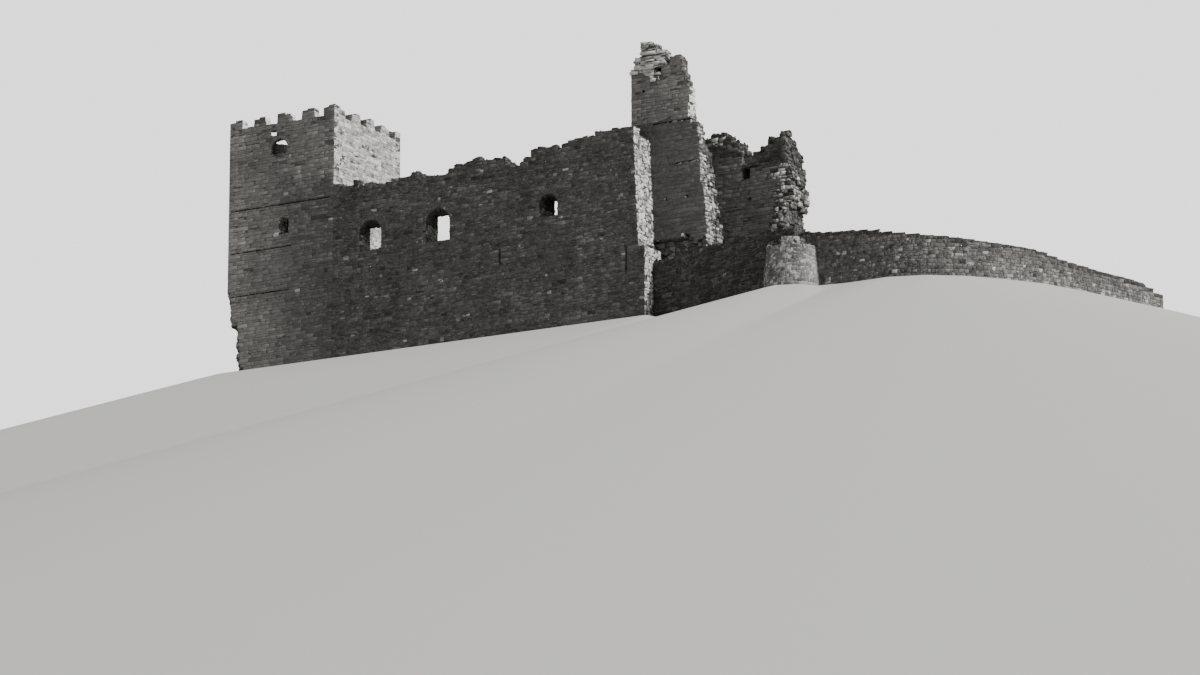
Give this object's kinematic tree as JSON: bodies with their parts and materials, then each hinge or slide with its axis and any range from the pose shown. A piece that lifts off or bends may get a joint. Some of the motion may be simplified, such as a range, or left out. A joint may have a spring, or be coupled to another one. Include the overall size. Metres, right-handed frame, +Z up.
{
  "type": "ruined stone castle keep, 1:10 scale model",
  "caption": "Ruined stone castle as a scale model: square keep with battlements, hall wall with arched windows, broken great tower, low walls and a round turret.",
  "frame": {"origin": "centre of the square keep's foot, at ground level", "axes": "+X to the right along the front of the castle, +Y towards the back, +Z up"},
  "size_m": [7.4322, 2.1978, 2.28],
  "materials": {
    "stone_grey": "rough",
    "stone_dark": "rough",
    "stone_pale": "rough",
    "stone_floor": "rough"
  },
  "bodies": {
    "root": {"keep_front_wall": "stone_grey", "keep_right_wall": "stone_pale", "keep_back_wall": "stone_grey", "keep_left_wall": "stone_grey", "keep_front_parapet": "stone_grey", "keep_right_parapet": "stone_pale", "keep_back_parapet": "stone_grey", "keep_left_parapet": "stone_grey", "keep_ground_floor": "stone_floor", "keep_window_floor": "stone_floor", "keep_roof_deck": "stone_floor", "hall_wall_west": "stone_dark", "hall_wall_middle": "stone_dark", "hall_wall_east": "stone_dark", "hall_wall_end": "stone_dark", "great_tower_front_wall": "stone_dark", "great_tower_left_wall": "stone_dark", "great_tower_back_wall": "stone_grey", "great_tower_corner": "stone_pale", "low_wall_west": "stone_dark", "low_wall_east": "stone_dark", "round_turret": "stone_pale", "outer_wall_1": "stone_dark", "outer_wall_2": "stone_dark", "outer_wall_3": "stone_grey", "outer_wall_4": "stone_grey", "outer_wall_5": "stone_grey", "outer_wall_6": "stone_pale", "outer_wall_7": "stone_pale", "outer_wall_8": "stone_pale"}
  },
  "joints": []
}
